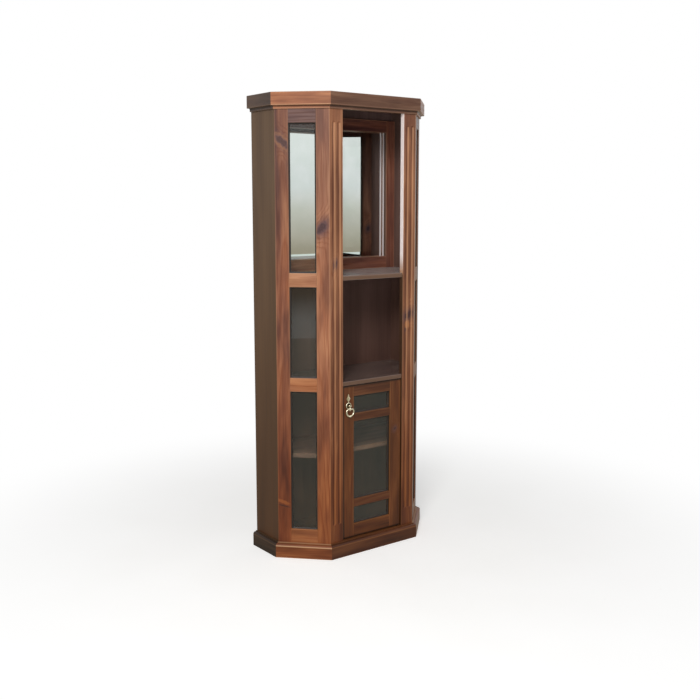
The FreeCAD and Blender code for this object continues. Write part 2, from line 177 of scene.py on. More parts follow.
# Painted shade: in the flutes and under the cornice's fascia, in the gaps round the door and on the posts' inner
# faces, and on the side faces of the stiles. SHELF_EDGE is the brown on the shelves' front edges.
MOULDING_SHADE, GAP_SHADE, REVEAL_SHADE, SHELF_EDGE = "#2c1710", "#1c110c", "#22150f", "#5c3e2b"
# Painted reflection: a near-white glare on the right post's inner face above the upper shelf.
REFLECTED_GLARE = "#f8ecea"
KNOT_SHADE, SPIKE = "#634747", "#ab7349"
KNOT_RINGS = [(0, "#2f1e1d"), (0.25, "#493235"), (0.5, "#3a272a"), (0.75, "#523a3b"),
              (1, "#674843")]
LATE_WOOD = [(0, "#000000"), (0.45, "#606060"), (0.84, "#ffffff"), (1, "#000000")]

# Sizes in mm.
RING_PITCH = 9.0      # growth rings of slow pine are 2 to 4 mm apart; drawn wider so that they show
FIBRE_PITCH = 3.5     # fibre streaks are under 1 mm wide; drawn wider for the same reason
WORN_AND_HIGHLIGHT_EDGE = 3.5       # varnish is rubbed thin over 1 to 2 mm of an edge; drawn wider, too, and partly a painted highlight
KNOT_RAG = 12.0       # how coarse a knot's ragged outline is
DOOR_GAP = (2, 7)     # from where to where the gap's painted shade fades inwards from the door's edge
LOCK_GAP = 3          # how much further in it starts at the closing edge
# Depths in mm over which other painted marks fade: painted shade on an inner face of a post, painted glare on the
# right one, brown from the front edge of a shelf, and painted shade in a stile's reveal from its side and from its
# front.
POST_FADE, GLARE_FADE, SHELF_FADE = 1.5, (0.3, 1.5), (0.3, 1.2)
REVEAL_SIDE, REVEAL_FRONT = (0.9, 0.3), (1.5, 3.5)
# Painted highlights (right lips of the flutes, the plinth's shoulder, below the cornice's fascia) and painted
# shade (left halves of the flutes, under the cornice's fascia) on moulded boards: places across the board in mm
# from its middle, half width of each line in mm, and strength.
HIGHLIGHT_LINES = {"pilaster": ((-5.5, 18.5), 3.0, 0.6), "plinth": ((-17.5,), 3.0, 0.85),
              "cornice": ((16.5,), 3.0, 0.6)}
SHADE_LINES = {"pilaster": ((-13, 11), 3.5, 0.6), "cornice": ((20.5,), 3.5, 0.95)}

# Noise per metre across, into and along a board, and the width and length in mm that it gives.
SWAY_RATE = (14, 14, 2.5)       # wandering grain, 70 by 400
PATCH_RATE = (22, 22, 3.0)      # patches that took more stain, 45 by 330
COOL_RATE = (30, 30, 4.5)       # cooler patches, 33 by 220
VENEER_RATE = (160, 160, 3)     # streaks of the veneer, 6 by 330
BROAD_RATE = (12, 12, 1.2)      # patches of the veneer, 80 by 830
FIBRE_STRETCH = 40              # how many times as long as wide a fibre streak is
SWAY = 0.02                     # how far the grain wanders, in metres
TAPER = 0.022                   # slant of the rings to the board, in metres per metre
FLUTES = (0.02, 0.76)           # middle of the flutes above the post's, and half length, in metres

# Falls from a knot in its own half sizes: how far the rings bulge in metres, and the shares of the
# shade round it, of its dark middle and of a pale spike.
RING_BULGE = {"From Min": 0.4, "From Max": 4.5, "To Min": 0.03, "To Max": 0}
SHADE_FALL = {"From Min": 0.8, "From Max": 2.8, "To Min": 0.65, "To Max": 0}
CORE_FALL = {"From Min": 0.7, "From Max": 1.5, "To Min": 0.85, "To Max": 0}
SPIKE_FALL = {"From Min": 0.6, "From Max": 1.2, "To Min": 0.75, "To Max": 0}
# Heights in metres between which a painted shade, sheen or glare comes or goes.
PINE_FOOT = {"From Min": 0.15, "From Max": 1.05, "To Min": 1, "To Max": 0}
VENEER_FOOT = {"From Min": 0.0, "From Max": 1.5, "To Min": 1, "To Max": 0}
CANT_CROWN = {"From Min": 1.0, "From Max": 1.5}
BELOW_UPPER_SHELF = {"From Min": 1.08, "From Max": 1.09, "To Min": 1, "To Max": 0}
ABOVE_UPPER_SHELF = {"From Min": 1.09, "From Max": 1.16}

door_low, door_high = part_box("door_lock_stile")     # the door's closing edge and its height


def knot_reach(tree, bent, knots):
    """How far a point is from the nearest knot, in that knot's own half sizes, with a ragged
    outline. bent lies half the sway off the board's own frame on average."""
    coarse = add(tree, "TexNoise", {"Vector": bent, "Scale": 1 / (KNOT_RAG * mm), "Detail": 2})
    near = None
    for x, z, wide, tall, turn in knots:
        spot = {"Vector": bent, "Location": (x * mm + SWAY / 2, 0, z * mm + SWAY / 2),
                "Rotation": (0, math.radians(turn), 0), "Scale": (wide * mm, 10, tall * mm)}
        own = add(tree, "Mapping", spot, vector_type="TEXTURE")
        reach = add(tree, "VectorMath", {0: own}, operation="LENGTH")
        reach = add(tree, "Math", {0: coarse, 1: 1.0, 2: reach}, operation="MULTIPLY_ADD")
        reach = add(tree, "Math", {0: reach, 1: 0.5}, operation="SUBTRACT")
        if near is not None:
            reach = add(tree, "Math", {0: near, 1: reach}, operation="MINIMUM")
        near = reach
    return near


def bands(tree, across, places, half, strength, along=1.0):
    """Soft lines along a board at the given places across it, as one value: strength on a line and
    0 beside it, times along, which is 0 where they end."""
    line = None
    for at in places:
        off = add(tree, "Math", {0: across, 1: at * mm}, operation="SUBTRACT")
        off = add(tree, "Math", {0: off}, operation="ABSOLUTE")
        one = add(tree, "MapRange", {
            "Value": off, "From Max": half * mm, "To Min": strength, "To Max": 0})
        if line is not None:
            one = add(tree, "Math", {0: line, 1: one}, operation="MAXIMUM")
        line = one
    return add(tree, "Math", {0: line, 1: along}, operation="MULTIPLY")


def pine_figure(tree, board, place, own, spin):
    """How the wood has grown: coordinates bent as the grain wanders, an offset for more noise on
    them, the dark late wood of the growth rings, the fibre, and the reach from a knot or None."""
    pith = (spin.uniform(-0.025, 0.025), spin.uniform(0.03, 0.06), 0)
    slip = tuple(spin.uniform(0, 60, 3))
    slow = add(tree, "VectorMath", {0: place, 1: SWAY_RATE, 2: slip}, operation="MULTIPLY_ADD")
    sway = add(tree, "TexNoise", {"Vector": slow, "Scale": 1, "Detail": 2}, "Color")
    bent = add(tree, "VectorMath", {0: sway, 1: (SWAY, SWAY, SWAY), 2: place},
               operation="MULTIPLY_ADD")
    cross = add(tree, "VectorMath", {0: bent, 1: (1, 1, 0), 2: pith}, operation="MULTIPLY_ADD")
    radius = add(tree, "VectorMath", {0: cross}, operation="LENGTH")
    ring = add(tree, "Math", {0: own["Z"], 1: TAPER, 2: radius}, operation="MULTIPLY_ADD")
    near = knot_reach(tree, bent, KNOTS[board]) if board in KNOTS else None
    if near is not None:
        bulge = add(tree, "MapRange", {"Value": near, **RING_BULGE}, **SMOOTH)
        ring = add(tree, "Math", {0: ring, 1: bulge}, operation="ADD")
    turns = add(tree, "Math", {0: ring, 1: 1 / (RING_PITCH * mm)}, operation="MULTIPLY")
    year = add(tree, "Math", {0: turns}, operation="FRACT")
    late = add(tree, "ValToRGB", {0: year}, "Color", LATE_WOOD)
    fine = 1 / (FIBRE_PITCH * mm)
    lines = add(tree, "VectorMath", {0: bent, 1: (fine, fine, fine / FIBRE_STRETCH)},
                operation="MULTIPLY")
    fibre = add(tree, "TexNoise", {"Vector": lines, "Scale": 1, "Detail": 3})
    return bent, slip, late, fibre, near


def pine_stain(tree, board, stain, bent, slip, late, fibre, near):
    """Colour of the stain: patches that took more or less of it and cooler ones, late wood and
    fibre a little darker, pale spikes, and purple-brown knots with a shade round them."""
    dark, middle, light = STAINS[stain][:3]
    broad = add(tree, "VectorMath", {0: bent, 1: PATCH_RATE, 2: slip}, operation="MULTIPLY_ADD")
    patch = add(tree, "TexNoise", {"Vector": broad, "Scale": 1, "Detail": 3, "Roughness": 0.55})
    colour = add(tree, "ValToRGB", {0: patch}, "Color",
                 [(0.36, dark), (0.5, middle), (0.64, light)])
    cool = add(tree, "VectorMath", {0: bent, 1: COOL_RATE, 2: slip[::-1]}, operation="MULTIPLY_ADD")
    cool = add(tree, "TexNoise", {"Vector": cool, "Scale": 1, "Detail": 2})
    cool = add(tree, "MapRange", {"Value": cool, "From Min": 0.5, "From Max": 0.72, "To Max": 0.7})
    tint = add(tree, "Mix", {0: cool, 6: WHITE, 7: linear("#c4b3c0")}, **BLEND)
    colour = add(tree, "Mix", {0: 1.0, 6: colour, 7: tint}, **MULTIPLY)
    if near is not None:
        shade = add(tree, "MapRange", {"Value": near, **SHADE_FALL}, **SMOOTH)
        colour = add(tree, "Mix", {0: shade, 6: colour, 7: linear(KNOT_SHADE)}, **BLEND)
    show = add(tree, "MapRange", {
        "Value": patch, "From Min": 0.4, "From Max": 0.62, "To Min": 0.25, "To Max": 1})
    strong = add(tree, "Math", {0: late, 1: show}, operation="MULTIPLY")
    grain = add(tree, "Mix", {0: strong, 6: WHITE, 7: linear("#e0cabe")}, **BLEND)
    streak = add(tree, "ValToRGB", {0: fibre}, "Color", [(0.3, "#ddd0c9"), (0.62, "#ffffff")])
    for tint in (grain, streak):
        colour = add(tree, "Mix", {0: 1.0, 6: colour, 7: tint}, **MULTIPLY)
    if board in SPIKES:
        spike = knot_reach(tree, bent, SPIKES[board])
        pale = add(tree, "MapRange", {"Value": spike, **SPIKE_FALL}, **SMOOTH)
        colour = add(tree, "Mix", {0: pale, 6: colour, 7: linear(SPIKE)}, **BLEND)
    if near is not None:
        rings = add(tree, "ValToRGB", {0: near}, "Color", KNOT_RINGS)
        core = add(tree, "MapRange", {"Value": near, **CORE_FALL}, **SMOOTH)
        colour = add(tree, "Mix", {0: core, 6: colour, 7: rings}, **BLEND)
    return colour


def pine_wear_and_painted_lines(tree, kind, colour, wear_and_highlight, own, side, half):
    """Edges pale from rubbed varnish and partly from a painted highlight, painted highlights on the lips of the
    mouldings, and painted shade in their hollows. On the posts both end with the flutes."""
    worn = add(tree, "MapRange", {
        "Value": side, "From Min": half[0] - WORN_AND_HIGHLIGHT_EDGE * mm, "From Max": half[0], "To Max": 0.45})
    along = 1.0
    if kind == "pilaster":
        along = add(tree, "Math", {0: own["Z"], 1: FLUTES[0], 2: FLUTES[1]}, operation="COMPARE")
    # Painted highlights along the lips of the mouldings.
    if kind in HIGHLIGHT_LINES:
        pale = bands(tree, own["X"], *HIGHLIGHT_LINES[kind], along)
        worn = add(tree, "Math", {0: worn, 1: pale}, operation="MAXIMUM")
    colour = add(tree, "Mix", {0: worn, 6: colour, 7: linear(wear_and_highlight)}, **BLEND)
    # Painted shade in the flutes and under the cornice's fascia.
    if kind in SHADE_LINES:
        painted_shade = bands(tree, own["X"], *SHADE_LINES[kind], along)
        colour = add(tree, "Mix", {0: painted_shade, 6: colour, 7: linear(MOULDING_SHADE)}, **BLEND)
    return colour


def pine_painted_light(tree, board, kind, colour, spot, own, side, half):
    """What a board's place in the cabinet adds, mostly painted light: a painted cool sheen high on the canted
    corners, painted shade in the gaps round the door, on the posts' inner faces below the upper shelf and on the
    side faces of the stiles, brown on the front edges of the shelves, and above that shelf a painted near-white
    glare on the right post's inner face."""
    # Painted sheen: a cooler tint high on the canted corners.
    if kind == "cant":
        crown = add(tree, "MapRange", {"Value": spot["Z"], **CANT_CROWN}, **SMOOTH)
        cool = add(tree, "Mix", {0: crown, 6: WHITE, 7: linear("#dadde8")}, **BLEND)
        colour = add(tree, "Mix", {0: 1.0, 6: colour, 7: cool}, **MULTIPLY)
    shades = []
    # Painted shade in the gaps at the door's closing edge, foot and head.
    if kind == "door":
        edges = (("X", door_low.x + LOCK_GAP * mm, 1), ("Z", door_low.z, 1), ("Z", door_high.z, -1))
        for run, start, way in edges:
            gap = add(tree, "MapRange", {
                "Value": spot[run], "To Min": 0.85, "To Max": 0,
                "From Min": start + DOOR_GAP[0] * way * mm,
                "From Max": start + DOOR_GAP[1] * way * mm})
            shades.append((gap, GAP_SHADE))
    # Painted shade on a post's inner face below the upper shelf.
    if kind == "pilaster":
        way = 1 if board == "pilaster_right" else -1
        edge = add(tree, "MapRange", {
            "Value": own["X"], "From Min": -way * half[0],
            "From Max": way * (POST_FADE * mm - half[0]), "To Min": 0.85, "To Max": 0})
        zone = add(tree, "MapRange", {"Value": spot["Z"], **BELOW_UPPER_SHELF})
        shades.append((add(tree, "Math", {0: edge, 1: zone}, operation="MULTIPLY"), GAP_SHADE))
    # Brown on the shelves' front edges, beside tops whose grey stain is partly painted sheen and shade.
    if board in ("upper_shelf", "middle_shelf"):
        near_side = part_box(board)[0].y
        edge = add(tree, "MapRange", {
            "Value": spot["Y"], "From Min": near_side + SHELF_FADE[0] * mm,
            "From Max": near_side + SHELF_FADE[1] * mm, "To Min": 0.75, "To Max": 0})
        shades.append((edge, SHELF_EDGE))
    # Painted shade on the side faces of the stiles, behind their front.
    if "stile" in board:
        edge = add(tree, "MapRange", {
            "Value": side, "From Min": half[0] - REVEAL_SIDE[0] * mm,
            "From Max": half[0] - REVEAL_SIDE[1] * mm})
        inner = add(tree, "MapRange", {
            "Value": own["Y"], "To Max": 0.75, "From Min": REVEAL_FRONT[0] * mm - half[1],
            "From Max": REVEAL_FRONT[1] * mm - half[1]})
        shades.append((add(tree, "Math", {0: edge, 1: inner}, operation="MULTIPLY"), REVEAL_SHADE))
    # Painted reflection: a near-white glare on the right post's inner face above the upper shelf.
    if board == "pilaster_right":
        edge = add(tree, "MapRange", {
            "Value": own["X"], "To Min": 0.85, "To Max": 0,
            "From Min": GLARE_FADE[0] * mm - half[0], "From Max": GLARE_FADE[1] * mm - half[0]})
        zone = add(tree, "MapRange", {"Value": spot["Z"], **ABOVE_UPPER_SHELF})
        shades.append((add(tree, "Math", {0: edge, 1: zone}, operation="MULTIPLY"), REFLECTED_GLARE))
    for share, code in shades:
        colour = add(tree, "Mix", {0: share, 6: colour, 7: linear(code)}, **BLEND)
    return colour


def stained_pine(board, stain, seed, rough, shine, bloom=0.0):
    """Flat-sawn pine, stained and varnished to a satin: soft patches and streaks along the grain, faint growth
    rings that flow round knots, edges pale from wear and from a painted highlight, painted light and shade by the
    board's place and mouldings, and painted shade towards the foot. bloom is a grey veil that shows at a low
    angle, as on a wiped shelf."""
    made, tree, where = blank("stained_pine_" + board)
    place, half = board_axes(tree, board, where)
    spot = add(tree, "SeparateXYZ", {0: where}, "X").node.outputs
    own = add(tree, "SeparateXYZ", {0: place}, "X").node.outputs
    side = add(tree, "Math", {0: own["X"]}, operation="ABSOLUTE")
    figure = pine_figure(tree, board, place, own, np.random.default_rng(seed))
    late, fibre = figure[2:4]
    wear_and_highlight, foot_shade = STAINS[stain][3:]
    kind = board.split("_")[0]
    colour = pine_stain(tree, board, stain, *figure)
    colour = pine_wear_and_painted_lines(tree, kind, colour, wear_and_highlight, own, side, half)
    colour = pine_painted_light(tree, board, kind, colour, spot, own, side, half)
    # Painted shade: deeper and warmer towards the foot.
    foot = add(tree, "MapRange", {"Value": spot["Z"], **PINE_FOOT}, **SMOOTH)
    depth = add(tree, "Mix", {0: foot, 6: WHITE, 7: linear(foot_shade)}, **BLEND)
    colour = add(tree, "Mix", {0: 1.0, 6: colour, 7: depth}, **MULTIPLY)
    satin = add(tree, "MapRange", {
        "Value": fibre, "From Min": 0.3, "From Max": 0.7, "To Min": rough - 0.07,
        "To Max": rough + 0.07})
    height = add(tree, "Math", {0: late, 1: 0.4, 2: fibre}, operation="MULTIPLY_ADD")
    bump = add(tree, "Bump", {"Strength": 0.2, "Distance": 0.3 * mm, "Height": height})
    wood = add(tree, "BsdfPrincipled", {
        "Base Color": colour, "Roughness": satin, "IOR": 1.5, "Normal": bump,
        "Specular IOR Level": shine, "Sheen Weight": bloom, "Sheen Roughness": 0.3})
    add(tree, "OutputMaterial", {"Surface": wood})
    return made


# Streaks of the veneer on the inner faces of the sides, and of the one under the top, made lighter as painted
# light.
INNER_FACE = [(0.36, "#533f39"), (0.64, "#69524b")]
UNDERSIDE_LIGHT = [(0.36, "#857c6c"), (0.64, "#9b917f")]


def stained_veneer(board, colours, seed, rough):
    """Straight-grained veneer under a dark stain: long narrow streaks, hardly any figure, a dull satin, a painted
    shade deeper and warmer towards the foot, cooler on the inner faces of the sides, and painted light under the
    top, which is made lighter and greyer."""
    made, tree, where = blank("stained_veneer_" + board)
    place, half = board_axes(tree, board, where)
    slip = tuple(np.random.default_rng(seed).uniform(0, 60, 3))
    lines = add(tree, "VectorMath", {0: place, 1: VENEER_RATE, 2: slip}, operation="MULTIPLY_ADD")
    streak = add(tree, "TexNoise", {"Vector": lines, "Scale": 1, "Detail": 4, "Roughness": 0.6})
    broad = add(tree, "VectorMath", {0: place, 1: BROAD_RATE, 2: slip}, operation="MULTIPLY_ADD")
    patch = add(tree, "TexNoise", {"Vector": broad, "Scale": 1, "Detail": 2})
    both = add(tree, "Math", {0: patch, 1: 0.6}, operation="MULTIPLY")
    both = add(tree, "Math", {0: streak, 1: 0.4, 2: both}, operation="MULTIPLY_ADD")
    dark, light = colours
    colour = add(tree, "ValToRGB", {0: both}, "Color", [(0.36, dark), (0.64, light)])
    high = add(tree, "SeparateXYZ", {0: where}, "Z")
    if board.startswith("side_panel"):
        inside = add(tree, "ValToRGB", {0: both}, "Color", INNER_FACE)
        depth = add(tree, "SeparateXYZ", {0: place}, "Y")
        face = add(tree, "MapRange", {
            "Value": depth, "From Min": half[1] - 2 * mm, "From Max": half[1] - 0.5 * mm})
        colour = add(tree, "Mix", {0: face, 6: colour, 7: inside}, **BLEND)
    # Painted light: the underside of the top is lighter and greyer.
    if board == "top_panel":
        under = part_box(board)[0].z
        lit_underside = add(tree, "ValToRGB", {0: both}, "Color", UNDERSIDE_LIGHT)
        face = add(tree, "MapRange", {
            "Value": high, "From Min": under + 0.5 * mm, "From Max": under + 2 * mm})
        colour = add(tree, "Mix", {0: face, 6: lit_underside, 7: colour}, **BLEND)
    # Painted shade: deeper and warmer towards the foot.
    foot = add(tree, "MapRange", {"Value": high, **VENEER_FOOT})
    warm = add(tree, "Mix", {0: foot, 6: WHITE, 7: linear("#cba77c")}, **BLEND)
    colour = add(tree, "Mix", {0: 1.0, 6: colour, 7: warm}, **MULTIPLY)
    satin = add(tree, "MapRange", {
        "Value": streak, "From Min": 0.3, "From Max": 0.7, "To Min": rough - 0.06,
        "To Max": rough + 0.06})
    bump = add(tree, "Bump", {"Strength": 0.15, "Distance": 0.3 * mm, "Height": streak})
    wood = add(tree, "BsdfPrincipled", {
        "Base Color": colour, "Roughness": satin, "IOR": 1.5, "Normal": bump,
        "Specular IOR Level": 0.2})
    add(tree, "OutputMaterial", {"Surface": wood})
    return made


# Sizes in mm of marks on glass, mirror and metal.
WIPE_MARKS, CLOUDS, CAST_GRIT, MOULD_GRAIN = 70, 120, 3, 1.5
DRAWN_RATE = (2500, 400, 400)      # noise per metre: drawn lines, 0.4 by 2.5 mm
BEVEL_LINES = (12.5, 28.5)         # painted reflections at the bevel's edges, mm from the glass's edge


def float_glass():
    """Polished soda-lime pane: clear and sharp, with a green-grey cast that wiping has left faintly
    uneven."""
    made, tree, where = blank("float_glass")
    marks = add(tree, "TexNoise", {"Vector": where, "Scale": 1 / (WIPE_MARKS * mm), "Detail": 4})
    cast = add(tree, "ValToRGB", {0: marks}, "Color", [(0.4, "#e4ece7"), (0.7, "#ebf1ee")])
    glass = add(tree, "BsdfPrincipled", {
        "Base Color": cast, "Roughness": 0.0, "IOR": 1.45, "Transmission Weight": 1.0})
    clear = add(tree, "BsdfTransparent", {"Color": linear("#e4ece7")})
    to_lamp = add(tree, "LightPath", {}, "Is Shadow Ray")
    both = add(tree, "MixShader", {0: to_lamp, 1: glass, 2: clear})
    add(tree, "OutputMaterial", {"Surface": both})
    return made


def silvered_mirror():
    """Silvered glass with a ground bevel: a bright cool reflection, faintly clouded in places, and two white lines
    along each side at the bevel's edges, a painted reflection, less metallic and rougher."""
    made, tree, where = blank("silvered_mirror")
    cloud = add(tree, "TexNoise", {"Vector": where, "Scale": 1 / (CLOUDS * mm), "Detail": 3})
    colour = add(tree, "ValToRGB", {0: cloud}, "Color", [(0.35, "#ebeded"), (0.65, "#f0f1f1")])
    rough = add(tree, "MapRange", {
        "Value": cloud, "From Min": 0.4, "From Max": 0.8, "To Min": 0.0, "To Max": 0.02})
    west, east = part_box("mirror_glass")
    across = add(tree, "SeparateXYZ", {0: where}, "X")
    off = add(tree, "Math", {0: across, 1: (west.x + east.x) / 2}, operation="SUBTRACT")
    off = add(tree, "Math", {0: off}, operation="ABSOLUTE")
    places = [(east.x - west.x) / 2 / mm - at for at in BEVEL_LINES]
    # Painted reflection of the bevel: white lines, less metallic and rougher.
    bevel_glare = bands(tree, off, places, half=5.0, strength=1.6)
    bevel_glare = add(tree, "Math", {0: bevel_glare, 1: 0.8}, operation="MINIMUM")
    colour = add(tree, "Mix", {0: bevel_glare, 6: colour, 7: linear("#f3e9e8")}, **BLEND)
    rough = add(tree, "Math", {0: bevel_glare, 1: 0.7, 2: rough}, operation="MULTIPLY_ADD")
    metal = add(tree, "Math", {0: 1.0, 1: bevel_glare}, operation="SUBTRACT")
    silver = add(tree, "BsdfPrincipled", {
        "Base Color": colour, "Roughness": rough, "Metallic": metal})
    add(tree, "OutputMaterial", {"Surface": silver})
    return made


def antique_brass():
    """Cast brass, aged and rubbed: pale gold on what stands out, brown in the hollows, small
    casting marks."""
    made, tree, where = blank("antique_brass")
    grit = add(tree, "TexNoise", {"Vector": where, "Scale": 1 / (CAST_GRIT * mm), "Detail": 3})
    rise = add(tree, "Attribute", {}, "Fac", attribute_name="rise")
    worn = add(tree, "Math", {0: grit, 1: 0.35, 2: rise}, operation="MULTIPLY_ADD")
    colour = add(tree, "ValToRGB", {0: worn}, "Color",
                 [(0.15, "#3a2f20"), (0.5, "#b3a179"), (0.9, "#e9dfc4")])
    rough = add(tree, "MapRange", {
        "Value": worn, "From Min": 0.1, "From Max": 1.1, "To Min": 0.5, "To Max": 0.2})
    bump = add(tree, "Bump", {"Strength": 0.2, "Distance": 0.2 * mm, "Height": grit})
    brass = add(tree, "BsdfPrincipled", {
        "Base Color": colour, "Roughness": rough, "Metallic": 1.0, "Normal": bump})
    add(tree, "OutputMaterial", {"Surface": brass})
    return made


def drawn_steel(name, colours):
    """Drawn steel, zinc-plated to a cool grey or chemically browned, with fine lines and a slight
    spangle."""
    made, tree, where = blank(name)
    lines = add(tree, "VectorMath", {0: where, 1: DRAWN_RATE}, operation="MULTIPLY")
    drawn = add(tree, "TexNoise", {"Vector": lines, "Scale": 1, "Detail": 2})
    colour = add(tree, "ValToRGB", {0: drawn}, "Color", [(0.3, colours[0]), (0.7, colours[1])])
    rough = add(tree, "MapRange", {"Value": drawn, "To Min": 0.28, "To Max": 0.5})
    steel = add(tree, "BsdfPrincipled", {"Base Color": colour, "Roughness": rough, "Metallic": 1.0})
    add(tree, "OutputMaterial", {"Surface": steel})
    return made


def dull_plastic(name, colours):
    """Moulded nylon, or the vinyl of the dark strips that stand in for the shade round the panes: dull, dark, with
    the fine grain of its mould.
    """
    made, tree, where = blank(name)
    grain = add(tree, "TexNoise", {"Vector": where, "Scale": 1 / (MOULD_GRAIN * mm), "Detail": 2})
    colour = add(tree, "ValToRGB", {0: grain}, "Color", [(0.3, colours[0]), (0.7, colours[1])])
    bump = add(tree, "Bump", {"Strength": 0.3, "Distance": 0.2 * mm, "Height": grain})
    nylon = add(tree, "BsdfPrincipled", {"Base Color": colour, "Roughness": 0.55, "Normal": bump})
    add(tree, "OutputMaterial", {"Surface": nylon})
    return made


# Stain of a board by the first of these words that is in its name. The darker stains of the sides of the plinth
# and the cornice are painted shade, and the grey stains of the upper and middle shelves are partly painted sheen
# and shade.
STAINED = [
    ("pilaster", "honey"), ("cant_top_rail", "plum"), ("cant_upper_rail", "ginger"),
    ("cant_bottom_rail", "ginger"), ("cornice_cant", "amber"), ("plinth_cant", "cedar"),
    ("plinth_side", "soot"), ("cornice_side", "umber"), ("upper_shelf", "ash"),
    ("inner_shelf", "loam"), ("shelf", "smoke"), ("door_lock", "walnut"),
    ("door_hinge", "walnut"), ("door_bottom", "walnut"), ("door_", "russet"),
    ("mirror_", "sable"), ("cornice_front", "hazel"), ("cant_front_stile", "copper"),
    ("stile", "chestnut"), ("cant_beads", "russet"), ("cant_", "amber"), ("", "russet"),
]
BLOOM = {"upper_shelf": 0.27, "middle_shelf": 0.06}    # veil on the open shelves


def board_material(name, seed):
    """A board's finish: veneer on the sides and inside, and on the pine a stain by where the board
    is, with more varnish on the open shelves and less on the sides of the plinth."""
    if slots[name] == "side_board":
        return stained_veneer(name, ("#523d2b", "#67503b"), seed, rough=0.45)
    if slots[name] == "inner_board":
        return stained_veneer(name, ("#56433f", "#6d5652"), seed, rough=0.5)
    stain = next(stain for word, stain in STAINED if word in name)
    if name in BLOOM:
        return stained_pine(name, stain, seed, rough=0.18, shine=0.7, bloom=BLOOM[name])
    if stain == "soot":
        return stained_pine(name, stain, seed, rough=0.45, shine=0.15)
    return stained_pine(name, stain, seed, rough=0.41, shine=0.3)


shared = {
    "clear_glass": float_glass(),
    "silvered_mirror": silvered_mirror(),
    "antique_brass": antique_brass(),
    "zinc_steel": drawn_steel("zinc_steel", ("#8d9093", "#bfc2c4")),
    "catch_plastic": dull_plastic("brown_nylon", ("#352419", "#463022")),
}
browned = drawn_steel("browned_steel", ("#2c2119", "#463629"))
# Dark vinyl of the glazing strips, which stand in for the shade in the panes' rebates.
shade_strip_finish = dull_plastic("shade_strip_vinyl", ("#16100d", "#241a15"))
for seed, name in enumerate(sorted(nodes)):
    finish = browned if name == "pivot_pins" else shared.get(slots[name])
    finish = finish or board_material(name, seed)
    for place in nodes[name].material_slots:
        place.material = finish


# New pieces. A shell is its vertices in metres, its faces, and how far each vertex stands out, 0
# to 1. The functions below work in mm.
def skin(points, rise):
    """Faces over a grid of points whose rows are closed loops, with a fan to the middle of each end
    row."""
    rows, cols = points.shape[:2]
    index = np.arange(rows * cols).reshape(rows, cols)
    a, b = index[:-1], index[1:]
    quads = np.stack([a, np.roll(a, -1, 1), np.roll(b, -1, 1), b], -1).reshape(-1, 4)
    tips = np.stack([points[0].mean(0), points[-1].mean(0)])
    first = np.stack([np.roll(index[0], -1), index[0], np.full(cols, rows * cols)], -1)
    last = np.stack([index[-1], np.roll(index[-1], -1), np.full(cols, rows * cols + 1)], -1)
    verts = np.vstack([points.reshape(-1, 3), tips])
    shade = np.append(np.broadcast_to(rise, (rows, cols)), [np.mean(rise), np.mean(rise)])
    return verts * mm, quads.tolist() + first.tolist() + last.tolist(), shade


def piece(name, shells, body, slot, finish=None):
    """One object from several closed shells, smooth, with its outward faces set, riding on a
    body."""
    starts = np.cumsum([0] + [len(s[0]) for s in shells])
    verts = np.vstack([s[0] for s in shells])
    faces = [[i + start for i in f] for s, start in zip(shells, starts) for f in s[1]]
    mesh = bpy.data.meshes.new(name)
    mesh.from_pydata(verts.tolist(), [], faces)
    work = bmesh.new()
    work.from_mesh(mesh)
    bmesh.ops.recalc_face_normals(work, faces=work.faces)
    work.to_mesh(mesh)
    work.free()
    mesh.polygons.foreach_set("use_smooth", np.ones(len(mesh.polygons), bool))
    rise = mesh.attributes.new("rise", "FLOAT", "POINT")
    rise.data.foreach_set("value", np.concatenate([s[2] for s in shells]))
    mesh.materials.append(finish or shared[slot])
    made = bpy.data.objects.new(name, mesh)
    bpy.context.scene.collection.objects.link(made)
    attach(made, body)
    return made


def rod(path, side, radius, rise, cols=20, flat=1.0):
    """A round rod: circles of the given radii in the plane of two directions, side and its partner,
    along a path. side is each point's direction square to the path; flat narrows the circle along
    it."""
    ahead = np.gradient(path, axis=0)
    ahead /= np.linalg.norm(ahead, axis=1, keepdims=True)
    side = np.broadcast_to(side, path.shape)
    partner = np.cross(ahead, side)
    turn = np.linspace(0, 2 * np.pi, cols, endpoint=False)[None, :, None]
    loop = flat * np.cos(turn) * side[:, None] + np.sin(turn) * partner[:, None]
    return skin(path[:, None] + np.asarray(radius)[:, None, None] * loop, rise)


# The pull: the axis of its drop, and the middle of its rosette on the door.
drop_joint = next(j for j in frame["joints"] if j["name"] == "drop_swing")
axis = np.array(drop_joint["pos_m"]) / mm
rosette = np.array([axis[0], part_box("pull_plate")[1].y / mm, axis[2]])
EAR_OUT, EAR_HALF = 4, 3.0      # place of an ear beside the axis, and half its height


def leaf():
    """Leaf above the rosette: half width along its length is a stem, a broad swelling and a small
    one, closing at the tip; its height across is two crowned leaflets with a groove between them,
    the right one standing higher."""
    z = np.linspace(11, 46.9, 80)[:, None]
    wide = 2.3 + 7.4 * np.exp(-((z - 26.5) / 6.8) ** 2) + 0.9 * np.exp(-((z - 38) / 4) ** 2)
    wide = wide * np.sqrt(np.clip((47 - z) / 8, 0.002, 1))
    v = np.linspace(-1, 1, 41)[None, :]
    swell = wide / 9.7
    high = 0.9 + 2.6 * (1 - np.abs(v) ** 2.4) * (0.4 + 0.6 * swell)
    high = high + 1.1 * swell * v * (1 - v ** 4)
    high = high - 2.4 * swell ** 2 * np.exp(-((v + 0.18) / 0.26) ** 2)
    front = np.stack([wide * v, -high, z + 0 * v], -1)
    pair = np.ones((1, 2))
    back = np.stack([wide * np.array([[1, -1]]), 0 * wide * pair, z * pair], -1)
    rise = np.concatenate([np.clip((high - 0.9) / 2.0, 0, 1), np.zeros((len(z), 2))], 1)
    return skin(np.concatenate([front, back], 1) + rosette, rise)


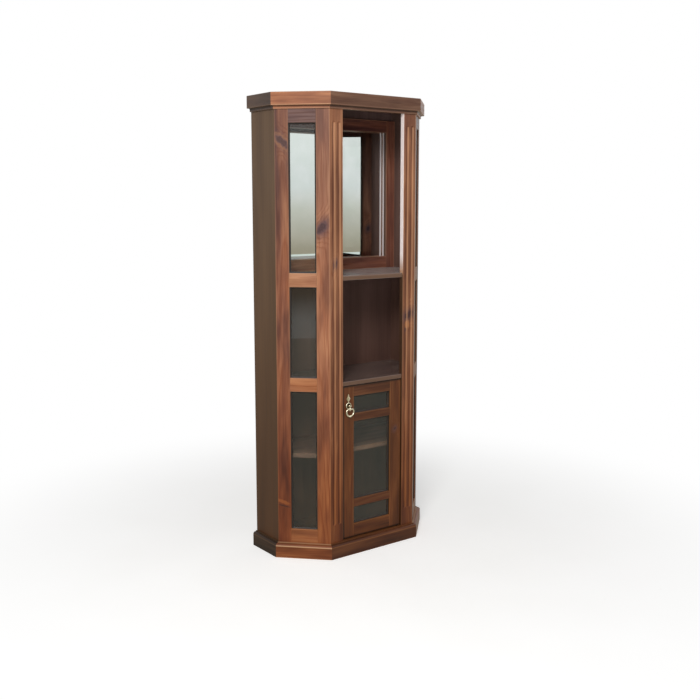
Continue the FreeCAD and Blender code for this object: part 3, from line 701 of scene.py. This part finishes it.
def rosette_disc():
    """Turned disc, as radius and height: a boss, a deep hollow and a rim, the rim's height rippled
    round the circle like a cord."""
    r = np.array([0.1, 1.2, 2.0, 2.6, 3.2, 6.4, 8.2, 9.0,
                  9.8, 10.7, 11.6, 12.4, 12.9, 13.0, 13.0, 0.1])
    h = np.array([2.6, 2.5, 2.0, 1.0, 0.7, 0.6, 0.8, 2.2,
                  3.8, 4.3, 3.8, 2.9, 1.9, 1.0, 0.0, 0.0])
    turn = np.linspace(0, 2 * np.pi, 96, endpoint=False)[None, :]
    on_rim = np.exp(-((r - 10.7) / 1.6) ** 2)[:, None]
    high = h[:, None] * (1 + 0.12 * on_rim * np.cos(24 * turn))
    points = np.stack([r[:, None] * np.cos(turn), -high, r[:, None] * np.sin(turn)], -1)
    return skin(points + rosette, np.clip((high - 1.3) / 2.4, -0.2, 1))


def ear(x):
    """Ear that holds the pin: a flat oval bar out of the rosette, whose half height closes as a
    half circle at its end."""
    reach = rosette[1] - axis[1]
    y = np.linspace(0, reach + EAR_HALF - 0.05, 30)
    past = np.maximum(y - reach, 0) / EAR_HALF
    tall = EAR_HALF * np.sqrt(np.clip(1 - past ** 2, 0.001, 1))[:, None]
    path = np.stack([0 * y + x, -y, 0 * y], -1) + rosette
    turn = np.linspace(0, 2 * np.pi, 20, endpoint=False)[None, :]
    loop = np.stack([0.95 * np.cos(turn) + 0 * tall, 0 * turn + 0 * tall, tall * np.sin(turn)], -1)
    return skin(path[:, None] + loop, (y / y[-1] * 0.8)[:, None])


def hinge_pin():
    """Pin across the ears, its radius swelling to a button at each end."""
    x = np.linspace(-6.6, 6.6, 61)
    out = np.abs(x)
    radius = 1.15 + 0.9 * np.exp(-((out - 5.7) / 0.6) ** 2)
    radius = radius * np.sqrt(np.clip(1 - (np.maximum(out - 5.9, 0) / 0.72) ** 2, 0.003, 1))
    path = np.stack([x, 0 * x, 0 * x], -1) + axis
    return rod(path, (0, 0, 1.0), radius, rise=0.9, cols=16)


# Heart of the pull: radius of its lobes, their middle from its own middle and below the axis, and
# the radius of its sides. Its point is the sum of two of these below the axis.
LOBE, LOBE_OUT, LOBE_DROP, HEART_SIDE = 9.5, 7.5, 21.5, 18.5
HEART_POINT = -LOBE_DROP - HEART_SIDE


def heart_half(sign):
    """Half of the heart: a rod along an arc round the lobe and on along a wider one down to the
    point, growing from 2.7 mm radius at the notch to 3.6 mm at the point."""
    a = np.radians(np.linspace(150, 0, 34))
    b = np.radians(np.linspace(0, -96, 50))[1:]
    x = LOBE_OUT + np.concatenate([LOBE * np.cos(a), LOBE + HEART_SIDE * (np.cos(b) - 1)])
    z = np.concatenate([LOBE * np.sin(a), HEART_SIDE * np.sin(b)]) - LOBE_DROP
    path = np.stack([sign * x, 0 * x, z], -1)
    radius = 2.7 + 0.9 * np.linspace(0, 1, len(x)) ** 2
    return rod(path + axis, (0, 1.0, 0), radius, rise=0.95, flat=0.9)


def turned(low, high, radius, rise):
    """A turned piece on the line from low to high, its radius a function of the share of the
    way."""
    t = np.linspace(0, 1, 41)[:, None]
    path = np.array(low) * (1 - t) + np.array(high) * t + axis
    return rod(path, (0, 1.0, 0), np.maximum(radius(t[:, 0]), 0.05), rise)


def dome(t):
    """Half a circle over 0 to 1: 0 at both ends and 1 in the middle."""
    return np.sqrt(np.clip(1 - (2 * t - 1) ** 2, 0, 1))


plate_shells = [leaf(), rosette_disc(), ear(-EAR_OUT), ear(EAR_OUT), hinge_pin()]
plate = piece("pull_backplate", plate_shells, "door", "antique_brass")
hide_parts("pull_plate")
heart = piece("pull_heart", [
    heart_half(1),
    heart_half(-1),
    # a bead at the point, a shank with a ring round its middle, and a barrel on the pin
    turned((0, 0, HEART_POINT + 5), (0, 0, HEART_POINT - 3.6), lambda t: 3.9 * dome(t), 1.0),
    turned((0, 0, -1), (0, 0, 3 - LOBE_DROP),
           lambda t: 1.5 + 1.3 * np.exp(-((t - 0.5) / 0.14) ** 2), 0.8),
    turned((-2.6, 0, 0), (2.6, 0, 0), lambda t: 2.7 * np.clip(dome(t), 0, 0.6) / 0.6, 0.85),
], "drop", "antique_brass")
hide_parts("pull_drop")


# Dark glazing strip, standing in for the shade in a pane's rebate: how far over the glass and how far out from it
# each point of its section is, the radius of its corners, and the points round one.
STRIP_SECTION = np.array([
    (-0.4, -0.4), (-0.4, 2.6), (0.8, 2.4), (3.2, 1.5), (5.6, 0.5), (6.0, -0.4)])
STRIP_CORNER, CORNER_POINTS = 7.0, 7


def glazing_shade_strip(x, z, glass, turn):
    """Dark strip round a pane that stands in for the shade in its rebate: its section carried round a rectangle
    with round corners, each point of the section on a rectangle that is smaller by its distance over the glass. x
    and z are the opening's edges and glass is the pane's face, in the turned frame."""
    corner = np.repeat(np.array([(1, 1), (-1, 1), (-1, -1), (1, -1)]), CORNER_POINTS, 0)
    quarter = np.linspace(0, np.pi / 2, CORNER_POINTS)
    angle = (quarter[None, :] + np.arange(4)[:, None] * np.pi / 2).ravel()
    over, out = STRIP_SECTION[:, :1], STRIP_SECTION[:, 1:]
    reach = np.maximum(STRIP_CORNER - over, 1)
    wide, tall = (x[1] - x[0]) / 2 - over - reach, (z[1] - z[0]) / 2 - over - reach
    across = (x[0] + x[1]) / 2 + corner[:, 0] * wide + reach * np.cos(angle)
    up = (z[0] + z[1]) / 2 + corner[:, 1] * tall + reach * np.sin(angle)
    points = np.stack([across, glass - out + 0 * across, up], -1) @ turn.T
    rows, cols = points.shape[:2]
    index = np.arange(rows * cols).reshape(rows, cols)
    ahead, above = np.roll(index, -1, 1), np.roll(index, -1, 0)
    quads = np.stack([index, ahead, np.roll(above, -1, 1), above], -1).reshape(-1, 4)
    return points.reshape(-1, 3) * mm, quads.tolist(), np.zeros(rows * cols)


def glaze_shade_strips(name, body, panes, stiles, rails, plan):
    """The dark strips, standing in for the shade in the rebates, of one wall of panes: an opening lies between two
    stiles and two rails that follow each other."""
    turn = np.array(Euler((0, 0, plan)).to_matrix())
    posts = sorted((extent(n, turn) / mm for n in stiles), key=lambda e: e[0, 0])
    bars = sorted((extent(n, turn) / mm for n in rails), key=lambda e: e[0, 2])
    x = (posts[0][1, 0], posts[1][0, 0])
    glass = extent(panes, turn)[0, 1] / mm
    strips = [glazing_shade_strip(x, (a[1, 2], b[0, 2]), glass, turn) for a, b in zip(bars, bars[1:])]
    piece(name, strips, body, "catch_plastic", shade_strip_finish)


RAILS = ("bottom_rail", "lower_rail", "upper_rail", "top_rail")
glaze_shade_strips("door_glazing_shade_strips", "door", "door_middle_pane", ["door_lock_stile", "door_hinge_stile"],
      ["door_" + r for r in RAILS], 0)
for hand, plan in (("left", -math.pi / 4), ("right", math.pi / 4)):
    glaze_shade_strips("cant_glazing_strips_" + hand, "carcass", "cant_panes_" + hand,
          ["cant_front_stile_" + hand, "cant_rear_stile_" + hand],
          ["cant_%s_%s" % (r, hand) for r in RAILS], plan)


def heads(places, out, radius, high, slot_width):
    """Round heads of nails or screws at the given places: height falls as the square of the
    distance from the middle, less a straight slot where slot_width is above 0. out is the axis that
    they face along, as its index and sign."""
    r = np.array([1.0, 0.98, 0.85, 0.6, 0.35, 0.1])[:, None]
    turn = np.linspace(0, 2 * np.pi, 14, endpoint=False)[None, :]
    a, b = r * np.cos(turn), r * np.sin(turn)
    top = high * (1 - 0.7 * r ** 2) * np.array([0, 1, 1, 1, 1, 1])[:, None] + 0 * turn
    if slot_width > 0:
        top = np.maximum(top - 0.6 * high * np.exp(-(a * radius / slot_width) ** 2), 0)
    flat = [radius * a, radius * b]
    shape = np.stack(flat[:out[0]] + [out[1] * top] + flat[out[0]:], -1)
    return [skin(shape + np.array(p), 0.8) for p in places]


def spaced(low, high, pitch):
    """Places from low to high, evenly spread and about pitch apart."""
    return np.linspace(low, high, int(round((high - low) / pitch)) + 1)


# Nails of the back, into the shelves and the top, and down both sides: distances in mm from the
# edges and between nails.
ROW_INSET, ROW_PITCH, ROW_DOWN = 60, 115, 9
SIDE_INSET, SIDE_PITCH, SIDE_END = 7, 140, 30
back_low, back_high = [np.array(c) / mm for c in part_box("back_panel")]
rows = [float(sum(c.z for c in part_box(n)) / 2 / mm)
        for n in ("floor_panel", "middle_shelf", "upper_shelf")]
rows.append(back_high[2] - ROW_DOWN)
along = spaced(back_low[0] + ROW_INSET, back_high[0] - ROW_INSET, ROW_PITCH)
sides = (back_low[0] + SIDE_INSET, back_high[0] - SIDE_INSET)
nail_places = [(x, back_high[1], z) for z in rows for x in along]
nail_places += [(x, back_high[1], z) for x in sides
                for z in spaced(SIDE_END, back_high[2] - SIDE_END, SIDE_PITCH)]
nails = heads(nail_places, (1, 1), radius=3.2, high=0.7, slot_width=0)
piece("back_nails", nails, "carcass", "zinc_steel")
strike_low, strike_high = [np.array(c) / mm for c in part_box("door_strike")]
strike_places = [(x, strike_high[1], strike_low[2] + 4.5)
                 for x in np.interp((0.2, 0.8), (0, 1), (strike_low[0], strike_high[0]))]
strike_screws = heads(strike_places, (1, 1), radius=2.4, high=0.35, slot_width=0.3)
piece("strike_screws", strike_screws, "door", "zinc_steel")
catch_low, catch_high = [np.array(c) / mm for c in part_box("magnet_catch")]
catch_places = [(x, catch_low[1] + 7, catch_low[2])
                for x in np.interp((0.16, 0.84), (0, 1), (catch_low[0], catch_high[0]))]
catch_screws = heads(catch_places, (2, -1), radius=2.6, high=1.0, slot_width=0.35)
piece("catch_screws", catch_screws, "carcass", "zinc_steel")


# Studio, in metres: a pale floor that runs out to white, a pale screen for what shines to reflect,
# a soft sky and two lamps.
FLOOR_REACH = 40.0
FLOOR_LIFT = 0.42               # what the lit floor lacks to white
FLOOR_MOTTLE = 3                # noise per metre
SCREEN_REACH, SCREEN_HIGH = 6.2, 3.2
SCREEN_POSTS = 45               # uprights of the bowed screen
# Colours of the screen by the share of its height.
SCREEN = [(0.0, "#f4faf6"), (0.06, "#f4faf6"), (0.14, "#a2947f"), (0.27, "#b3a896"),
          (0.4, "#dcd8cf"), (0.48, "#f4f4f5"), (0.6, "#ffffff")]


def stage_mesh(name, verts, faces, finish):
    """A mesh of the studio, which is no part of the cabinet."""
    mesh = bpy.data.meshes.new(name)
    mesh.from_pydata(verts, [], faces)
    mesh.materials.append(finish)
    made = bpy.data.objects.new(name, mesh)
    bpy.context.scene.collection.objects.link(made)
    return made


def mirrored_rays(tree, path):
    """1 for rays that come by way of gloss or glass. path is the outputs of a Light Path."""
    pair = {0: path["Is Glossy Ray"], 1: path["Is Transmission Ray"]}
    return add(tree, "Math", pair, operation="MAXIMUM")


def seen_rays(tree):
    """1 for rays that look at the background: from the camera, or by way of gloss or glass."""
    path = add(tree, "LightPath", {}).node.outputs
    pair = {0: path["Is Camera Ray"], 1: mirrored_rays(tree, path)}
    return add(tree, "Math", pair, operation="MAXIMUM")


def studio_floor():
    """Matt pale vinyl, faintly mottled, lifted to white where it is looked at so that only the
    shadow shows, plain and a shade darker by way of gloss and glass, and all white away from the
    object."""
    made, tree, where = blank("studio_floor")
    mottle = add(tree, "TexNoise", {"Vector": where, "Scale": FLOOR_MOTTLE, "Detail": 2})
    colour = add(tree, "ValToRGB", {0: mottle}, "Color", [(0.3, "#e6e5e2"), (0.7, "#eae9e7")])
    matt = add(tree, "BsdfDiffuse", {"Color": colour})
    lift = add(tree, "Math", {0: seen_rays(tree), 1: FLOOR_LIFT}, operation="MULTIPLY")
    glow = add(tree, "Emission", {"Color": WHITE, "Strength": lift})
    near = add(tree, "AddShader", {0: matt, 1: glow})
    plain = add(tree, "Emission", {"Color": linear("#bcbdb2"), "Strength": 1.0})
    path = add(tree, "LightPath", {}).node.outputs
    near = add(tree, "MixShader", {0: mirrored_rays(tree, path), 1: near, 2: plain})
    white = add(tree, "Emission", {"Color": WHITE, "Strength": 1.0})
    away = add(tree, "VectorMath", {0: where}, operation="LENGTH")
    fade = add(tree, "MapRange", {"Value": away, "From Min": 0.5, "From Max": 2.0}, **SMOOTH)
    share = add(tree, "Math", {0: fade, 1: path["Is Camera Ray"]}, operation="MULTIPLY")
    both = add(tree, "MixShader", {0: share, 1: near, 2: white})
    add(tree, "OutputMaterial", {"Surface": both})
    made.cycles.emission_sampling = "NONE"
    return made


def studio_screen():
    """Paper screen that only gloss and glass see: pale at its foot, warm and darker above it, and
    white from the middle up."""
    made, tree, where = blank("studio_screen")
    high = add(tree, "SeparateXYZ", {0: where}, "Z")
    share = add(tree, "Math", {0: high, 1: 1 / SCREEN_HIGH}, operation="MULTIPLY")
    colour = add(tree, "ValToRGB", {0: share}, "Color", SCREEN)
    clear = add(tree, "BsdfTransparent", {})
    paper = add(tree, "Emission", {"Color": colour, "Strength": 1.0})
    both = add(tree, "MixShader", {0: seen_rays(tree), 1: clear, 2: paper})
    add(tree, "OutputMaterial", {"Surface": both})
    made.cycles.emission_sampling = "NONE"
    return made


floor_corners = [(x * FLOOR_REACH, y * FLOOR_REACH, 0)
                 for x, y in ((-1, -1), (1, -1), (1, 1), (-1, 1))]
stage_mesh("studio_floor", floor_corners, [(0, 1, 2, 3)], studio_floor())
bow = np.radians(np.linspace(-178, -2, SCREEN_POSTS))
foot = np.stack([SCREEN_REACH * np.cos(bow), SCREEN_REACH * np.sin(bow), 0 * bow], -1)
screen_faces = [(i, i + 1, i + 1 + SCREEN_POSTS, i + SCREEN_POSTS)
                for i in range(SCREEN_POSTS - 1)]
screen = stage_mesh("studio_screen", np.vstack([foot, foot + (0, 0, SCREEN_HIGH)]).tolist(),
                    screen_faces, studio_screen())
screen.visible_camera = False

world = bpy.data.worlds.new("studio")
bpy.context.scene.world = world
world.use_nodes = True
sky = world.node_tree
sky.nodes.clear()
soft = add(sky, "Background", {"Color": WHITE, "Strength": 0.27})
bright = add(sky, "Background", {"Color": WHITE, "Strength": 1.0})
both = add(sky, "MixShader", {0: seen_rays(sky), 1: soft, 2: bright})
add(sky, "OutputWorld", {"Surface": both})


def lamp(name, size, power, spot, target):
    """A round soft lamp that looks from its spot at a target and only lights: it is not seen
    itself."""
    light = bpy.data.lights.new(name, "AREA")
    light.shape, light.size, light.energy = "DISK", size, power
    made = bpy.data.objects.new(name, light)
    bpy.context.scene.collection.objects.link(made)
    way = np.array(target) - np.array(spot)
    tilt = math.atan2(way[2], math.hypot(way[0], way[1]))
    made.location = spot
    made.rotation_euler = (math.pi / 2 + tilt, 0, -math.atan2(way[0], way[1]))
    made.visible_camera = False
    return made


lamp("key", size=1.3, power=126, spot=(-2.9, -3.0, 3.3), target=(0, 0, 1.0))
fill = lamp("fill", size=2.0, power=52, spot=(-2.8, -3.2, 0.8), target=(0, 0, 0.9))
fill.visible_glossy = False
fill.visible_transmission = False

# Camera, fitted to the photograph: place in metres, turn to the right and tilt down in degrees.
CAMERA_PLACE, CAMERA_TURN, CAMERA_TILT = (-2.2194, -2.9477, 1.36), 36.909, 8
lens = bpy.data.cameras.new("camera")
lens.sensor_width, lens.lens, lens.shift_y = 36, 47.979, -0.0223
camera = bpy.data.objects.new("camera", lens)
bpy.context.scene.collection.objects.link(camera)
camera.location = CAMERA_PLACE
camera.rotation_euler = (math.radians(90 - CAMERA_TILT), 0, -math.radians(CAMERA_TURN))
bpy.context.scene.camera = camera
bpy.context.scene.view_settings.view_transform = "Standard"
